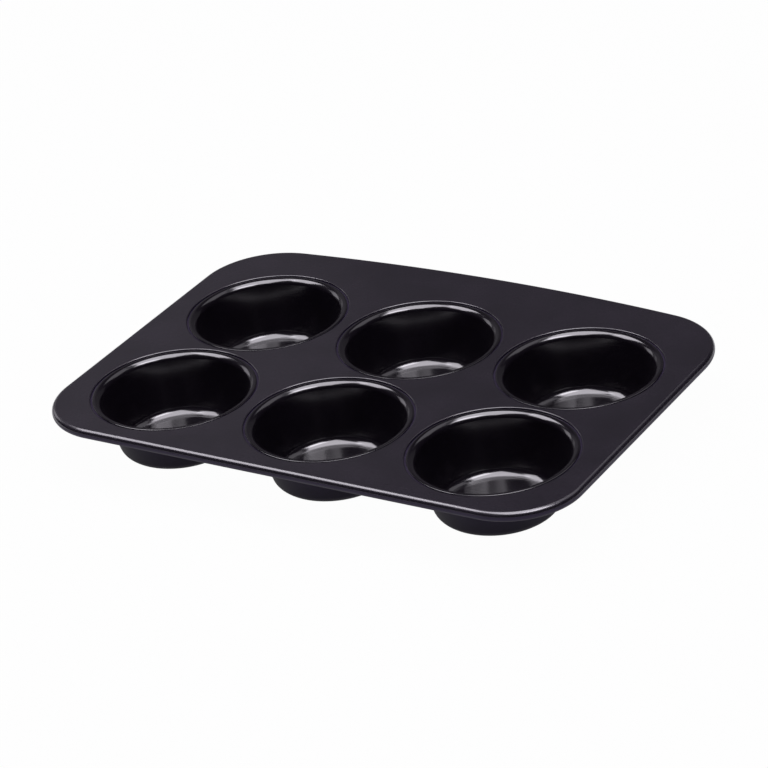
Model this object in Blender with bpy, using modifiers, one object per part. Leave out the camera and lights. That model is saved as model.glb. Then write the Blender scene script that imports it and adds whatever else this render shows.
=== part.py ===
"""Muffin pan: drawn steel cups seated in a sheet frame whose edge is curled round a wire.

Metres, +Z up. The origin is in the middle of the pan's box, on the surface that the cups stand on.
The rows of cups run along X, and the wide grip margin lies at +Y.
"""

from math import asin, atan2, cos, hypot, pi, radians, sin, sqrt, tan

import bmesh
import bpy

# Cups and their places
CUPS_ACROSS = 3
CUP_ROWS = 2
LIP_RADIUS = 0.0356         # where the flange starts to roll into the cup
FLANGE_WIDTH = 0.0018
FLOOR_RADIUS = 0.02635      # where the wall's line meets the floor, inside
CUP_DEPTH = 0.02605         # inside, from the flange to the floor
MOUTH_ROLL = 0.003          # the rounded lip from flange to wall
FLOOR_FILLET = 0.0035       # inside, from floor to wall
WEB_ACROSS = 0.00397        # flat sheet left between neighbours in a row
WEB_BETWEEN_ROWS = 0.00053  # flat sheet left between the rows
STEP_DOWN = 0.00045         # how far a flange lies below the deck

# The frame's outline, with margins from the cups' seats to the outer edge
SIDE_MARGIN = 0.01148
FRONT_MARGIN = 0.00816
GRIP_MARGIN = 0.0273        # at the back, in the middle of the bowed edge
BACK_BOW = 0.00964          # how far the back edge bows out over the pan's length
FRONT_CORNER_RADIUS = 0.0326
BACK_CORNER_RADIUS = 0.0367

# Sheet, wire and clearance
FRAME_SHEET = 0.0007
CUP_SHEET = 0.0006
INSIDE_BEND = 0.0003        # inside radius where the deck turns down into a seat
WIRE_RADIUS = 0.00125
CURL_DEGREES = 262.0        # how far the edge is curled round the wire
BEND_SHARE = 0.9            # most of a seat's depth that its bend may take
FIT = 0.0003                # between pieces that touch

# Facets
TURN_STEPS = 32
CURL_STEPS = 10
CORNER_STEPS = 9
BOW_STEPS = 8
BEND_STEPS = 2
FILLET_STEPS = 3
ROLL_STEPS = 4
WELD = 0.00001
SHARP_DEGREES = 40.0

# Sizes that follow from those above
FLANGE_RADIUS = LIP_RADIUS + FLANGE_WIDTH
SEAT_RADIUS = FLANGE_RADIUS + FIT
LAND_RADIUS = LIP_RADIUS + FIT
SEAT_DEPTH = STEP_DOWN + CUP_SHEET + FIT
SEAT_BEND = min(INSIDE_BEND + FRAME_SHEET, BEND_SHARE * SEAT_DEPTH)
RING_RADIUS = SEAT_RADIUS + SEAT_BEND
PITCH_ACROSS = 2 * RING_RADIUS + WEB_ACROSS
PITCH_ROWS = 2 * RING_RADIUS + WEB_BETWEEN_ROWS
CURL_RADIUS = WIRE_RADIUS + FIT + FRAME_SHEET
HALF_LENGTH = (CUPS_ACROSS - 1) / 2 * PITCH_ACROSS + RING_RADIUS + SIDE_MARGIN
HALF_WIDTH = (CUP_ROWS - 1) / 2 * PITCH_ROWS + RING_RADIUS + (FRONT_MARGIN + GRIP_MARGIN) / 2
CUPS_Y = (FRONT_MARGIN - GRIP_MARGIN) / 2
DECK_TOP = CUP_SHEET + CUP_DEPTH + STEP_DOWN

COATED_STEEL = ("non_stick_coated_steel", (0.031, 0.028, 0.034), 0.38, 0.0)
BRIGHT_WIRE = ("galvanised_wire", (0.62, 0.62, 0.60), 0.35, 1.0)


def clear_scene():
    for thing in list(bpy.data.objects):
        bpy.data.objects.remove(thing, do_unlink=True)


def make_material(name, colour, roughness, metallic):
    material = bpy.data.materials.new(name)
    material.use_nodes = True
    shader = material.node_tree.nodes["Principled BSDF"]
    shader.inputs["Base Color"].default_value = (*colour, 1.0)
    shader.inputs["Roughness"].default_value = roughness
    shader.inputs["Metallic"].default_value = metallic
    return material


def cup_places():
    """Name and centre of every cup, front row first."""
    rows = {0: "front", CUP_ROWS - 1: "back"}
    columns = {0: "left", CUPS_ACROSS - 1: "right"}
    places = []
    for row in range(CUP_ROWS):
        for column in range(CUPS_ACROSS):
            name = f"cup_{rows.get(row, 'inner')}_{columns.get(column, 'middle')}"
            x = (column - (CUPS_ACROSS - 1) / 2) * PITCH_ACROSS
            y = (row - (CUP_ROWS - 1) / 2) * PITCH_ROWS + CUPS_Y
            places.append((name, x, y))
    return places


def arc(centre_x, centre_y, radius, start, end, steps):
    """Points along an arc, both ends included."""
    turns = [start + (end - start) * i / steps for i in range(steps + 1)]
    return [(centre_x + radius * cos(t), centre_y + radius * sin(t)) for t in turns]


def circle(centre_x, centre_y, radius):
    return arc(centre_x, centre_y, radius, 0, 2 * pi, TURN_STEPS)[:-1]


def outline(inset):
    """The pan's edge seen from above, anticlockwise, drawn in by the inset.

    The front and the sides are straight, the back is one long arc, and fillets join them.
    """
    bow_radius = (HALF_LENGTH ** 2 + BACK_BOW ** 2) / (2 * BACK_BOW)
    bow_y = HALF_WIDTH - bow_radius
    back_x = HALF_LENGTH - BACK_CORNER_RADIUS
    back_y = bow_y + sqrt((bow_radius - BACK_CORNER_RADIUS) ** 2 - back_x ** 2)
    front_x = HALF_LENGTH - FRONT_CORNER_RADIUS
    front_y = FRONT_CORNER_RADIUS - HALF_WIDTH
    meet = atan2(back_y - bow_y, back_x)
    right = arc(front_x, front_y, FRONT_CORNER_RADIUS - inset, -pi / 2, 0, CORNER_STEPS)
    right += arc(back_x, back_y, BACK_CORNER_RADIUS - inset, 0, meet, CORNER_STEPS)
    right += arc(0, bow_y, bow_radius - inset, meet, pi / 2, BOW_STEPS)[1:]
    left = [(-x, y) for x, y in reversed(right[:-1])]
    return right + left


def curl_section():
    """The curled edge's outer face as pairs of inset and height, from the deck outwards."""
    turns = [radians(CURL_DEGREES) * i / CURL_STEPS for i in range(CURL_STEPS + 1)]
    return [(CURL_RADIUS * (1 - sin(t)), DECK_TOP - CURL_RADIUS * (1 - cos(t))) for t in turns]


def seat_section():
    """A seat's upper face as pairs of radius and height, from the deck inwards."""
    turns = [pi / 2 * i / BEND_STEPS for i in range(BEND_STEPS + 1)]
    bend = [(RING_RADIUS - SEAT_BEND * sin(t), DECK_TOP - SEAT_BEND * (1 - cos(t))) for t in turns]
    foot = DECK_TOP - SEAT_DEPTH
    return bend + [(SEAT_RADIUS, foot), (LAND_RADIUS, foot)]


def cup_section():
    """A cup's inner face as pairs of radius and height, from the middle of the floor outwards."""
    floor = CUP_SHEET
    flange = CUP_SHEET + CUP_DEPTH
    # The wall's line runs from the floor's corner and just touches the lip's roll.
    run = LIP_RADIUS - FLOOR_RADIUS
    rise = CUP_DEPTH - MOUTH_ROLL
    wall = atan2(rise, run) + asin(MOUTH_ROLL / hypot(rise, run))
    flat = FLOOR_RADIUS - FLOOR_FILLET * tan(wall / 2)
    points = [(0.0, floor)]
    for i in range(FILLET_STEPS + 1):
        t = wall * i / FILLET_STEPS
        points.append((flat + FLOOR_FILLET * sin(t), floor + FLOOR_FILLET * (1 - cos(t))))
    for i in range(ROLL_STEPS + 1):
        t = wall * (1 - i / ROLL_STEPS)
        points.append((LIP_RADIUS - MOUTH_ROLL * sin(t), flange - MOUTH_ROLL * (1 - cos(t))))
    points.append((FLANGE_RADIUS, flange))
    return points


def draw_ring(bm, points, height):
    """A closed ring of edges at one height, as its vertices and its edges."""
    ring = [bm.verts.new((x, y, height)) for x, y in points]
    return ring, [bm.edges.new(pair) for pair in zip(ring, ring[1:] + ring[:1])]


def draw_on(bm, ring, points, height):
    """Extrudes a ring of sheet's edge to the next ring of points."""
    edges = [bm.edges.get(pair) for pair in zip(ring, ring[1:] + ring[:1])]
    grown = bmesh.ops.extrude_edge_only(bm, edges=edges)["geom"]
    fresh = {item for item in grown if isinstance(item, bmesh.types.BMVert)}
    following = [next(e.other_vert(v) for e in v.link_edges if e.other_vert(v) in fresh) for v in ring]
    for vert, (x, y) in zip(following, points):
        vert.co = (x, y, height)
    return following


def give_thickness(thing, sheet):
    """The drawn face is the upper one, so the sheet's thickness goes below it."""
    solidify = thing.modifiers.new("sheet", "SOLIDIFY")
    solidify.thickness = sheet
    solidify.offset = -1.0
    solidify.use_even_offset = True
    solidify.use_quality_normals = True


def add_object(name, data, material, collection, parent, location=(0, 0, 0)):
    thing = bpy.data.objects.new(name, data)
    if not data.materials:
        data.materials.append(material)
    collection.objects.link(thing)
    thing.parent = parent
    thing.location = location
    return thing


def frame_mesh():
    """The flat deck, filled between its outline and the mouths, with both kinds of edge formed."""
    bm = bmesh.new()
    curl = curl_section()
    seat = seat_section()
    edge_ring, deck_edges = draw_ring(bm, outline(curl[0][0]), curl[0][1])
    mouth_rings = []
    for _, x, y in cup_places():
        ring, edges = draw_ring(bm, circle(x, y, seat[0][0]), seat[0][1])
        mouth_rings.append((x, y, ring))
        deck_edges += edges
    filled = bmesh.ops.triangle_fill(bm, use_beauty=True, edges=deck_edges, normal=(0, 0, 1))
    deck_face = next(item for item in filled["geom"] if isinstance(item, bmesh.types.BMFace))
    for inset, height in curl[1:]:
        edge_ring = draw_on(bm, edge_ring, outline(inset), height)
    for x, y, ring in mouth_rings:
        for radius, height in seat[1:]:
            ring = draw_on(bm, ring, circle(x, y, radius), height)
    bmesh.ops.recalc_face_normals(bm, faces=bm.faces)
    if deck_face.normal.z < 0:
        bmesh.ops.reverse_faces(bm, faces=bm.faces)
    mesh = bpy.data.meshes.new("frame_sheet")
    bm.to_mesh(mesh)
    bm.free()
    mesh.shade_smooth()
    mesh.set_sharp_from_angle(angle=radians(SHARP_DEGREES))
    return mesh


def cup_profile_mesh():
    """Half a section of a cup, which is turned about Z."""
    points = [(radius, 0.0, height - CUP_SHEET) for radius, height in cup_section()]
    mesh = bpy.data.meshes.new("cup_profile")
    mesh.from_pydata(points, [(i, i + 1) for i in range(len(points) - 1)], [])
    return mesh


def turn_profile(thing):
    screw = thing.modifiers.new("turned", "SCREW")
    screw.axis = "Z"
    screw.angle = 2 * pi
    screw.steps = TURN_STEPS
    screw.render_steps = TURN_STEPS
    screw.use_merge_vertices = True
    screw.merge_threshold = WELD
    screw.use_smooth_shade = True


def wire_curve():
    """A closed loop of round wire along the middle of the curl."""
    curve = bpy.data.curves.new("rim_wire", "CURVE")
    curve.dimensions = "3D"
    curve.bevel_depth = WIRE_RADIUS
    curve.bevel_resolution = 2
    route = outline(CURL_RADIUS)
    spline = curve.splines.new("POLY")
    spline.points.add(len(route) - 1)
    for point, (x, y) in zip(spline.points, route):
        point.co = (x, y, DECK_TOP - CURL_RADIUS, 1.0)
    spline.use_cyclic_u = True
    return curve


def main():
    clear_scene()
    pieces = bpy.data.collections.new("muffin_pan")
    bpy.context.scene.collection.children.link(pieces)
    steel = make_material(*COATED_STEEL)
    wire_metal = make_material(*BRIGHT_WIRE)
    pan = bpy.data.objects.new("muffin_pan", None)
    pieces.objects.link(pan)

    frame = add_object("frame_sheet", frame_mesh(), steel, pieces, pan)
    give_thickness(frame, FRAME_SHEET)
    add_object("rim_wire", wire_curve(), wire_metal, pieces, pan)
    profile = cup_profile_mesh()
    for name, x, y in cup_places():
        cup = add_object(name, profile, steel, pieces, pan, (x, y, CUP_SHEET))
        turn_profile(cup)
        give_thickness(cup, CUP_SHEET)


main()
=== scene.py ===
from math import asin, atan2, cos, hypot, pi, radians, sin, sqrt, tan

import bmesh
import bpy
from mathutils import Matrix, Vector


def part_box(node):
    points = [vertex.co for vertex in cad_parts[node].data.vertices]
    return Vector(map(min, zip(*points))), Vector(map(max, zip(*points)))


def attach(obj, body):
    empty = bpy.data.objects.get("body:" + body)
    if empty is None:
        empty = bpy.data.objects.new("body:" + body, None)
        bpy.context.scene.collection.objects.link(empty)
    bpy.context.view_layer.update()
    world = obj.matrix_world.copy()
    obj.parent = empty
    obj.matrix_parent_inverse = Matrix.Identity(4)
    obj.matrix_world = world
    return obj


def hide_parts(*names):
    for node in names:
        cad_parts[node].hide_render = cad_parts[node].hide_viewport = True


mm = 0.001

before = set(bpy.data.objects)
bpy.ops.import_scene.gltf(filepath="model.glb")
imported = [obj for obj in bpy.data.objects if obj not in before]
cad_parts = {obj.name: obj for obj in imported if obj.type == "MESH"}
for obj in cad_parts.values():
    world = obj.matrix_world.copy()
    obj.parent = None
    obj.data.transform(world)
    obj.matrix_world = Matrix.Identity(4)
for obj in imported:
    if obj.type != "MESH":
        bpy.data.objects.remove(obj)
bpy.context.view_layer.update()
print("frame loaded:", len(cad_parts), "nodes")


# Small helpers

# what every sheet-metal piece shares
finishing = {
    "crease": radians(40),   # an edge sharper than this isn't shaded smooth
    "cutEdge": radians(60),  # and one sharper than this is a cut edge, which is eased
    "easingSteps": 2,
    "join": 0.01 * mm,       # points of a drawn outline this close are one
    "weld": 0.005 * mm,      # and points of a finished surface
}


# sRGB hex to the linear colour that a shader takes
def hexColour(text):
    channels = [int(text[i:i + 2], 16) / 255 for i in (1, 3, 5)]
    linear = [c / 12.92 if c <= 0.04045 else ((c + 0.055) / 1.055) ** 2.4 for c in channels]
    return (*linear, 1.0)


# adds a node; a setting is an input socket, by name or number, or one of the node's own options
def addNode(tree, kind, settings=None, links=None):
    node = tree.nodes.new(kind)
    for name, value in (settings or {}).items():
        if isinstance(name, int) or name in node.inputs:
            node.inputs[name].default_value = value
        else:
            setattr(node, name, value)
    for name, source in (links or {}).items():
        tree.links.new(source, node.inputs[name])
    return node


def newMaterial(name):
    material = bpy.data.materials.new(name)
    material.use_nodes = True
    material.node_tree.nodes.clear()
    return material, material.node_tree


# a mesh object for one piece, smooth with sharp creases, riding on the pan
def addPiece(name, bm, material, stoodFor, underside=None):
    mesh = bpy.data.meshes.new(name)
    bm.to_mesh(mesh)
    bm.free()
    mesh.shade_smooth()
    mesh.set_sharp_from_angle(angle=finishing["crease"])
    mesh.materials.append(material)
    if underside:
        mesh.materials.append(underside)
    piece = bpy.data.objects.new(name, mesh)
    bpy.context.scene.collection.objects.link(piece)
    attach(piece, "root")
    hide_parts(stoodFor)
    return piece


# the drawn face is the upper one: the sheet's thickness goes below it, and its cut edge is eased
def giveSheet(piece, thick, easing):
    sheetWall = piece.modifiers.new("sheet thickness", "SOLIDIFY")
    sheetWall.thickness = thick
    sheetWall.offset = -1
    sheetWall.use_even_offset = True
    sheetWall.use_quality_normals = True
    # the lower face takes the piece's second material, the matt coat with its painted light
    sheetWall.material_offset = 1
    eased = piece.modifiers.new("eased cut edge", "BEVEL")
    eased.width = easing
    eased.segments = finishing["easingSteps"]
    eased.limit_method = "ANGLE"
    eased.angle_limit = finishing["cutEdge"]
    even = piece.modifiers.new("flat faces stay flat", "WEIGHTED_NORMAL")
    even.keep_sharp = True
    even.weight = 100


# Materials

# Non-stick coating on carbon steel, sprayed and cured: near black with a cool cast. A fine speckle of
# pigment and slow clouds keep it from being one flat colour; the shine is a clear top coat over it.
coating = {
    "speckSize": 0.35 * mm,    # sprayed pigment is finer, but this is the finest that still shows
    "speckDetail": 2.0,
    "cloudSize": 22 * mm,      # where the spray lies a little thicker or thinner
    "cloudDetail": 3.0,
    "cloudRange": (0.3, 0.7),  # how dark and light the clouds come out
    "speckShare": 0.5,         # how much the speckle counts beside the clouds
    "mixRange": (0.5, 1.0),    # how dark and light the two together come out
    "unevenness": 0.08,        # how far the clouds take the roughness up and down
    "grainHeight": 0.02 * mm,
    "coatIor": 1.9,
}


def coatedSteel(name, finish):
    material, tree = newMaterial(name)
    cloudLow, cloudHigh = coating["cloudRange"]
    mixLow, mixHigh = coating["mixRange"]
    smoothest = finish["roughness"] * (1 - coating["unevenness"])
    roughest = finish["roughness"] * (1 + coating["unevenness"])
    place = addNode(tree, "ShaderNodeTexCoord").outputs["Object"]
    speck = addNode(tree, "ShaderNodeTexNoise",
                    {"Scale": 1 / coating["speckSize"], "Detail": coating["speckDetail"]},
                    {"Vector": place})
    cloud = addNode(tree, "ShaderNodeTexNoise",
                    {"Scale": 1 / coating["cloudSize"], "Detail": coating["cloudDetail"]},
                    {"Vector": place})
    blend = addNode(tree, "ShaderNodeMath", {"operation": "MULTIPLY_ADD", 1: coating["speckShare"]},
                    {0: speck.outputs["Fac"], 2: cloud.outputs["Fac"]})
    shade = addNode(tree, "ShaderNodeMapRange", {"From Min": mixLow, "From Max": mixHigh},
                    {"Value": blend.outputs[0]})
    colour = addNode(tree, "ShaderNodeMix",
                     {"data_type": "RGBA", 6: hexColour(finish["dark"]), 7: hexColour(finish["light"])},
                     {0: shade.outputs[0]})
    rough = addNode(tree, "ShaderNodeMapRange",
                    {"From Min": cloudLow, "From Max": cloudHigh, "To Min": smoothest, "To Max": roughest},
                    {"Value": cloud.outputs["Fac"]})
    bump = addNode(tree, "ShaderNodeBump",
                   {"Strength": finish["grain"], "Distance": coating["grainHeight"]},
                   {"Height": speck.outputs["Fac"]})
    shader = addNode(tree, "ShaderNodeBsdfPrincipled",
                     {"IOR": finish["ior"], "Specular Tint": hexColour(finish["sheen"]),
                      "Coat Weight": finish["coatWeight"],
                      "Coat Roughness": finish["coatRoughness"], "Coat IOR": coating["coatIor"]},
                     {"Base Color": colour.outputs[2], "Roughness": rough.outputs[0],
                      "Normal": bump.outputs[0]})
    addNode(tree, "ShaderNodeOutputMaterial", {}, {"Surface": shader.outputs[0]})
    return material


# the deck: a soft satin sheen that spreads each highlight a little
satinCoat = coatedSteel("satin_non_stick_on_carbon_steel", {
    "dark": "#0c0711",
    "light": "#130d18",
    "sheen": "#f4eeff",
    "roughness": 0.45,
    "ior": 1.36,
    "grain": 0.3,
    "coatWeight": 1.0,
    "coatRoughness": 0.21,
})

# inside the cups: the same coating drawn smoother, so the rolled lip throws a crisp bright band; its base
# colour is a deeper black than the deck's, which is painted shade for the inside of the deep cups
smoothCoatPaintedShade = coatedSteel("smooth_non_stick_with_painted_shade", {
    # painted shade: these base colours are darker than the deck's, to darken the cups' insides
    "dark": "#070409",
    "light": "#0c080f",
    "sheen": "#f4eeff",
    "roughness": 0.45,
    "ior": 1.15,
    "grain": 0.15,
    "coatWeight": 1.0,
    "coatRoughness": 0.13,
})

# the underside, the sunk seats and the part of the edge that turns under: a matt coat with no clear top
# coat; its dark violet grey base colour is lifted well above the deck's, which is painted light standing
# in for fill light on the underside
mattCoatPaintedLight = coatedSteel("matt_non_stick_with_painted_light_underneath", {
    # painted light: these base colours are lifted above the deck's so the underside reads as if lit by a
    # fill lamp
    "dark": "#1f1a27",
    "light": "#292333",
    "sheen": "#dccff5",
    "roughness": 0.42,
    "ior": 1.52,
    "grain": 0.3,
    "coatWeight": 0.0,
    "coatRoughness": 0.4,
})

# Galvanised steel wire, drawn and dipped: dull zinc grey, faintly mottled
zinc = {
    "mottleSize": 1.5 * mm,
    "mottleDetail": 2.0,
    "dark": "#8c8d8e",
    "light": "#b4b5b4",
    "smoothest": 0.3,
    "roughest": 0.5,
}


def galvanisedSteel(name):
    material, tree = newMaterial(name)
    place = addNode(tree, "ShaderNodeTexCoord").outputs["Object"]
    mottle = addNode(tree, "ShaderNodeTexNoise",
                     {"Scale": 1 / zinc["mottleSize"], "Detail": zinc["mottleDetail"]},
                     {"Vector": place})
    colour = addNode(tree, "ShaderNodeMix",
                     {"data_type": "RGBA", 6: hexColour(zinc["dark"]), 7: hexColour(zinc["light"])},
                     {0: mottle.outputs["Fac"]})
    rough = addNode(tree, "ShaderNodeMapRange",
                    {"To Min": zinc["smoothest"], "To Max": zinc["roughest"]},
                    {"Value": mottle.outputs["Fac"]})
    shader = addNode(tree, "ShaderNodeBsdfPrincipled", {"Metallic": 1.0},
                     {"Base Color": colour.outputs[2], "Roughness": rough.outputs[0]})
    addNode(tree, "ShaderNodeOutputMaterial", {}, {"Surface": shader.outputs[0]})
    return material


wireZinc = galvanisedSteel("galvanised_steel_wire")
print("materials made")


# Where things are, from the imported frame

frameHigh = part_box("frame_sheet")[1]
deckTop = frameHigh.z
cupNodes = sorted(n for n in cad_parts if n.startswith("cup_"))


# the middle of a cup, at the level it stands on
def cupCentre(node):
    low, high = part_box(node)
    return Vector(((low.x + high.x) / 2, (low.y + high.y) / 2, low.z))


# The frame: one sheet, its edge curled under round a wire, with a stepped seat for each cup

sheet = {
    "thick": 0.7 * mm,
    "easing": 0.12 * mm,
    "frontCorner": 32.6 * mm,
    "backCorner": 36.7 * mm,
    "backBow": 9.64 * mm,      # how far the back edge bows out over the pan's length
    "curlRadius": 2.3 * mm,    # outer face of the curled edge
    "curlTurn": radians(262),
    # the faces picked here get the matt coat's lighter base colour, which is painted light on the
    # underside
    "mattPaintedLightBelow": 0.2,          # faces that look up less than this (1 is straight up) take the matt coat
    "seatRadius": 37.75 * mm,  # the upright wall of a seat
    "seatBend": 0.5 * mm,      # the rounding from the deck down to it
    "seatDepth": 0.96 * mm,
    "footBend": 0.08 * mm,     # the tight rounding from the wall to the land
    "landRadius": 35.6 * mm,   # where the level land ends, under the cup's lip
    "cornerSteps": 24,
    "bowSteps": 40,
    "curlSteps": 28,
    "roundSteps": 128,
    "bendSteps": 8,
    "footSteps": 3,
}


# spins one vertex round a centre and gives the arc's vertices in order
def spinVertex(bm, start, centre, turn, steps):
    known = len(bm.verts)
    first = bm.verts.new(start)
    bmesh.ops.spin(bm, geom=[first], cent=centre, axis=(0, 0, 1), dvec=(0, 0, 0), angle=turn,
                   steps=steps, use_merge=False, use_duplicate=False)
    bm.verts.ensure_lookup_table()
    return bm.verts[known:]


# the pan's edge seen from above, drawn in by the curl: arcs for the right half, then mirrored
def outlineRing(bm, inset, height):
    halfLength = frameHigh.x
    halfWidth = frameHigh.y
    bow = sheet["backBow"]
    backCorner = sheet["backCorner"]
    frontCorner = sheet["frontCorner"]
    bowRadius = (halfLength ** 2 + bow ** 2) / (2 * bow)
    bowY = halfWidth - bowRadius
    backX = halfLength - backCorner
    backY = bowY + sqrt((bowRadius - backCorner) ** 2 - backX ** 2)
    meet = atan2(backY - bowY, backX)
    frontX = halfLength - frontCorner
    frontY = frontCorner - halfWidth
    front = spinVertex(bm, (frontX, frontY - frontCorner + inset, height), (frontX, frontY, height),
                       pi / 2, sheet["cornerSteps"])
    back = spinVertex(bm, (backX + backCorner - inset, backY, height), (backX, backY, height),
                      meet, sheet["cornerSteps"])
    start = (cos(meet) * (bowRadius - inset), bowY + sin(meet) * (bowRadius - inset), height)
    bowed = spinVertex(bm, start, (0, bowY, height), pi / 2 - meet, sheet["bowSteps"])
    bm.edges.new((front[-1], back[0]))
    bmesh.ops.pointmerge(bm, verts=[back[-1], bowed[0]], merge_co=bowed[0].co)
    half = list(bm.verts) + list(bm.edges)
    bmesh.ops.mirror(bm, geom=half, axis="X", merge_dist=finishing["join"])
    low = min(v.co.y for v in bm.verts)
    ends = [v for v in bm.verts if len(v.link_edges) == 1 and v.co.y < low + finishing["join"]]
    bm.edges.new(ends)
    return list(bm.verts)


# the level direction that points out of a convex ring at each of its vertices
def outwardOf(ring):
    middle = sum((v.co for v in ring), Vector()) / len(ring)
    found = []
    for v in ring:
        near = [e.other_vert(v).co for e in v.link_edges if e.is_boundary or e.is_wire]
        across = (near[0] - near[1]).cross(Vector((0, 0, 1))).normalized()
        found.append(across if across.dot(v.co - middle) > 0 else -across)
    return found


# extrudes the open edges round a ring of vertices and puts the new ones at their places
def growRing(bm, ring, places):
    inside = set(ring)
    loop = dict.fromkeys(e for v in ring for e in v.link_edges
                         if (e.is_boundary or e.is_wire) and e.other_vert(v) in inside)
    made = bmesh.ops.extrude_edge_only(bm, edges=list(loop))["geom"]
    fresh = {g for g in made if isinstance(g, bmesh.types.BMVert)}
    grown = [next(e.other_vert(v) for e in v.link_edges if e.other_vert(v) in fresh) for v in ring]
    for vert, place in zip(grown, places):
        vert.co = place
    return grown


# rolls a sheet's edge over and under, from level at the top
def rollEdge(bm, ring, outward, radius, turn, steps):
    base = [v.co.copy() for v in ring]
    for i in range(1, steps + 1):
        t = turn * i / steps
        drop = Vector((0, 0, radius * (1 - cos(t))))
        ring = growRing(bm, ring, [b + o * radius * sin(t) - drop for b, o in zip(base, outward)])


# a seat's upper face from the deck inwards, as pairs of radius and depth
def seatSection():
    radius = sheet["seatRadius"]
    bend = sheet["seatBend"]
    foot = sheet["seatDepth"]
    inner = sheet["footBend"]
    points = []
    for i in range(1, sheet["bendSteps"] + 1):
        t = pi / 2 * i / sheet["bendSteps"]
        points.append((radius + bend * (1 - sin(t)), bend * (1 - cos(t))))
    for i in range(sheet["footSteps"] + 1):
        t = pi / 2 * i / sheet["footSteps"]
        points.append((radius - inner * (1 - cos(t)), foot - inner * (1 - sin(t))))
    points.append((sheet["landRadius"], foot))
    return points


def makeFrame():
    bm = bmesh.new()
    edgeRing = outlineRing(bm, sheet["curlRadius"], deckTop)
    outward = outwardOf(edgeRing)
    mouths = []
    for node in cupNodes:
        middle = cupCentre(node)
        middle.z = deckTop
        made = bmesh.ops.create_circle(bm, cap_ends=False, segments=sheet["roundSteps"],
                                       radius=sheet["seatRadius"] + sheet["seatBend"],
                                       matrix=Matrix.Translation(middle))
        mouths.append((middle, made["verts"]))
    bmesh.ops.triangle_fill(bm, use_beauty=True, edges=list(bm.edges), normal=(0, 0, 1))
    rollEdge(bm, edgeRing, outward, sheet["curlRadius"], sheet["curlTurn"], sheet["curlSteps"])
    for middle, ring in mouths:
        spokes = [(v.co - middle).normalized() for v in ring]
        for radius, depth in seatSection():
            level = middle - Vector((0, 0, depth))
            ring = growRing(bm, ring, [level + s * radius for s in spokes])
    bmesh.ops.recalc_face_normals(bm, faces=bm.faces)
    bm.faces.ensure_lookup_table()
    if bm.faces[0].normal.z < 0:
        bmesh.ops.reverse_faces(bm, faces=bm.faces)
    # the seats and the turned-under part of the edge take the matt coat, whose lighter base colour is
    # painted light
    for face in bm.faces:
        spot = face.calc_center_median()
        sunk = any((spot - middle).xy.length < sheet["seatRadius"] for middle, ring in mouths)
        face.material_index = 1 if sunk or face.normal.z < sheet["mattPaintedLightBelow"] else 0
    piece = addPiece("pan_frame", bm, satinCoat, "frame_sheet", mattCoatPaintedLight)
    giveSheet(piece, sheet["thick"], sheet["easing"])


makeFrame()
print("frame made")


# The cups: drawn from a disc, each with a rolled lip and an out-turned flange

cup = {
    "thick": 0.6 * mm,
    "easing": 0.12 * mm,
    "lipRadius": 36.2 * mm,       # crest of the rolled lip
    "floorRadius": 26.35 * mm,    # where the wall's line meets the floor, inside
    "depth": 26.3 * mm,           # inside, from the crest to the floor
    "mouthRoll": 3.3 * mm,        # the rounding from the crest into the cup
    "flangeRoll": 1.6 * mm,       # and from the crest down to the flange
    "flangeTurn": radians(13.5),  # how far the flange turns down to its seat
    "flangeRun": 0.35 * mm,       # its straight last stretch
    "floorFillet": 4.5 * mm,
    "rollSteps": 14,
    "flangeSteps": 6,
    "filletSteps": 14,
    "roundSteps": 128,
}


# rounds one corner of a drawn section to a true radius
def roundCorner(bm, vert, radius, steps):
    a, b = [(e.other_vert(vert).co - vert.co).normalized() for e in vert.link_edges]
    cut = radius / tan(a.angle(b) / 2)
    bmesh.ops.bevel(bm, geom=[vert], offset=cut, offset_type="OFFSET", segments=steps, profile=0.5,
                    affect="VERTICES", material=-1)


def makeCup(node):
    middle = cupCentre(node)
    turn = cup["flangeTurn"]
    floorZ = cup["thick"]
    lipZ = floorZ + cup["depth"]
    run = cup["lipRadius"] - cup["floorRadius"]
    rise = cup["depth"] - cup["mouthRoll"]
    # the wall's line runs from the floor's corner and just touches the lip's roll
    wall = atan2(rise, run) + asin(cup["mouthRoll"] / hypot(rise, run))
    mouthRadius = cup["floorRadius"] + cup["depth"] / tan(wall)
    # past the crest the flange curves down and rests on the seat's land by its edge
    easeIn = cup["flangeRoll"] * tan(turn / 2)
    flangeCorner = cup["lipRadius"] + easeIn
    slope = cup["flangeRun"] + easeIn
    corners = [(0, floorZ), (cup["floorRadius"], floorZ), (mouthRadius, lipZ), (flangeCorner, lipZ),
               (flangeCorner + slope * cos(turn), lipZ - slope * sin(turn))]
    bm = bmesh.new()
    line = [bm.verts.new((middle.x + r, middle.y, middle.z + z)) for r, z in corners]
    for pair in zip(line, line[1:]):
        bm.edges.new(pair)
    roundCorner(bm, line[1], cup["floorFillet"], cup["filletSteps"])
    roundCorner(bm, line[3], cup["flangeRoll"], cup["flangeSteps"])
    roundCorner(bm, line[2], cup["mouthRoll"], cup["rollSteps"])
    bmesh.ops.spin(bm, geom=list(bm.verts) + list(bm.edges), cent=middle, axis=(0, 0, 1), dvec=(0, 0, 0),
                   angle=2 * pi, steps=cup["roundSteps"], use_merge=True, use_duplicate=False)
    bmesh.ops.remove_doubles(bm, verts=bm.verts, dist=finishing["weld"])
    bmesh.ops.recalc_face_normals(bm, faces=bm.faces)
    lowest = min(bm.faces, key=lambda f: f.calc_center_median().z)
    if lowest.normal.z < 0:
        bmesh.ops.reverse_faces(bm, faces=bm.faces)
    piece = addPiece("pan_" + node, bm, smoothCoatPaintedShade, node, mattCoatPaintedLight)
    giveSheet(piece, cup["thick"], cup["easing"])


for node in cupNodes:
    makeCup(node)
print("cups made")


# The wire inside the curled edge

wire = {
    "radius": 1.25 * mm,
    "roundSteps": 20,
}


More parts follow.
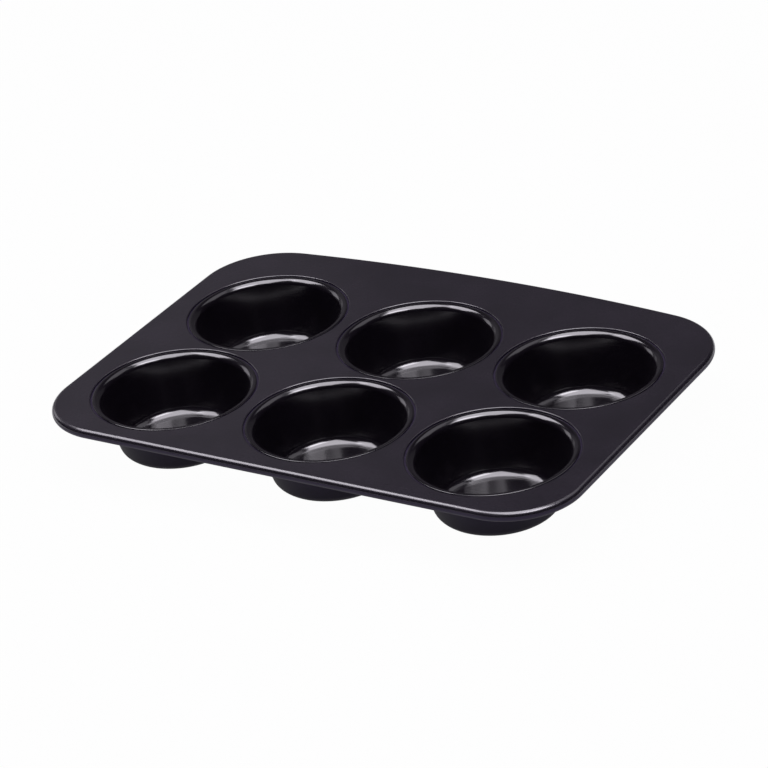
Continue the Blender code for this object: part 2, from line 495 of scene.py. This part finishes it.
def makeWire():
    bm = bmesh.new()
    ring = outlineRing(bm, sheet["curlRadius"], deckTop - sheet["curlRadius"] + wire["radius"])
    outward = outwardOf(ring)
    rollEdge(bm, ring, outward, wire["radius"], 2 * pi, wire["roundSteps"])
    bmesh.ops.remove_doubles(bm, verts=bm.verts, dist=finishing["weld"])
    bmesh.ops.recalc_face_normals(bm, faces=bm.faces)
    addPiece("edge_wire", bm, wireZinc, "rim_wire")


makeWire()
print("wire made")


# The photograph's camera, worked out for a square frame

camera = {
    "azimuth": radians(34.0),
    "elevation": radians(27.851),
    "roll": radians(-6.918),
    "distance": 1478.877 * mm,
    "target": (6.425 * mm, -12.676 * mm, 27.1 * mm),  # the point on the deck that it looks at
    "lens": 157.67,   # in millimetres, as is the sensor
    "sensor": 36,
    "nearest": 0.05,  # nothing nearer or farther than this is drawn, in metres
    "farthest": 60,
}


def makeCamera():
    a, e, r = camera["azimuth"], camera["elevation"], camera["roll"]
    back = Vector((sin(a) * cos(e), -cos(a) * cos(e), sin(e)))
    level = Vector((0, 0, 1)).cross(back).normalized()
    upright = back.cross(level)
    right = level * cos(r) + upright * sin(r)
    up = upright * cos(r) - level * sin(r)
    data = bpy.data.cameras.new("camera")
    data.lens = camera["lens"]
    data.sensor_width = camera["sensor"]
    data.clip_start = camera["nearest"]
    data.clip_end = camera["farthest"]
    eye = bpy.data.objects.new("camera", data)
    bpy.context.scene.collection.objects.link(eye)
    turn = Matrix((right, up, back)).transposed().to_4x4()
    eye.matrix_world = Matrix.Translation(Vector(camera["target"]) + back * camera["distance"]) @ turn
    bpy.context.scene.camera = eye


# Studio: a pale floor, soft lamps and a quiet, nearly dark room round them

studio = {
    "floorColour": "#b0b0b2",
    "floorRadius": 14.0,
    "floorSteps": 96,
    "whiteSeen": 0.98,      # how much of the floor's look is plain white to the camera
    "whiteMirrored": 0.25,  # and in reflections, where the pan's own shadow shows too
    "roomColour": "#1c1a1f",
    "roomStrength": 1.0,
    "lampColour": "#fbf6ff",
    "lampDistance": 1.2,    # metres from the pan's middle
}

# each softbox: degrees round from the camera (90 is its right), degrees up, width, height, brightness
softboxes = {
    "overhead_softbox": (22, 86, 0.9, 1.14, 4.4),
    "far_left_softbox": (242, 57.5, 0.85, 0.42, 4.3),
    "near_right_softbox": (48, 64, 0.6, 0.32, 4.6),
    "right_panel": (125, 52, 0.8, 0.5, 0.6),
    "back_panel": (180, 20, 2.6, 0.6, 0.064),
    "back_left_panel": (198, 20, 0.65, 0.6, 0.05),
    "left_strip": (205, 14, 0.15, 0.35, 0.2),
    "low_left_panel": (225, 20, 0.35, 0.45, 1.0),
}


def makeFloor():
    material, tree = newMaterial("pale_studio_floor")
    seen = addNode(tree, "ShaderNodeLightPath")
    mirrored = addNode(tree, "ShaderNodeMath", {"operation": "MAXIMUM"},
                       {0: seen.outputs["Is Glossy Ray"], 1: seen.outputs["Is Transmission Ray"]})
    dimmed = addNode(tree, "ShaderNodeMath", {"operation": "MULTIPLY", 1: studio["whiteMirrored"]},
                     {0: mirrored.outputs[0]})
    share = addNode(tree, "ShaderNodeMath", {"operation": "MULTIPLY_ADD", 1: studio["whiteSeen"]},
                    {0: seen.outputs["Is Camera Ray"], 2: dimmed.outputs[0]})
    matt = addNode(tree, "ShaderNodeBsdfDiffuse", {"Color": hexColour(studio["floorColour"])})
    white = addNode(tree, "ShaderNodeEmission", {"Strength": 1.0})
    both = addNode(tree, "ShaderNodeMixShader", {},
                   {0: share.outputs[0], 1: matt.outputs[0], 2: white.outputs[0]})
    addNode(tree, "ShaderNodeOutputMaterial", {}, {"Surface": both.outputs[0]})
    bm = bmesh.new()
    bmesh.ops.create_circle(bm, cap_ends=True, segments=studio["floorSteps"], radius=studio["floorRadius"])
    mesh = bpy.data.meshes.new("floor")
    bm.to_mesh(mesh)
    bm.free()
    mesh.materials.append(material)
    floor = bpy.data.objects.new("floor", mesh)
    bpy.context.scene.collection.objects.link(floor)


def makeLight():
    world = bpy.data.worlds.new("quiet_room")
    bpy.context.scene.world = world
    world.use_nodes = True
    world.node_tree.nodes.clear()
    room = addNode(world.node_tree, "ShaderNodeBackground",
                   {"Color": hexColour(studio["roomColour"]), "Strength": studio["roomStrength"]})
    addNode(world.node_tree, "ShaderNodeOutputWorld", {}, {"Surface": room.outputs[0]})
    for name, (around, up, width, height, glow) in softboxes.items():
        data = bpy.data.lights.new(name, "AREA")
        data.shape = "RECTANGLE"
        data.size = width
        data.size_y = height
        data.energy = glow * pi * width * height  # the watts that make its face that bright
        data.color = hexColour(studio["lampColour"])[:3]
        lamp = bpy.data.objects.new(name, data)
        turn = camera["azimuth"] + radians(around)
        rise = radians(up)
        place = Vector((sin(turn) * cos(rise), -cos(turn) * cos(rise), sin(rise)))
        across = Vector((cos(turn), sin(turn), 0))
        aim = Matrix((across, place.cross(across), place)).transposed().to_4x4()
        lamp.matrix_world = Matrix.Translation(place * studio["lampDistance"]) @ aim
        bpy.context.scene.collection.objects.link(lamp)


makeFloor()
makeLight()
makeCamera()
bpy.context.scene.view_settings.view_transform = "Standard"
print("studio made")
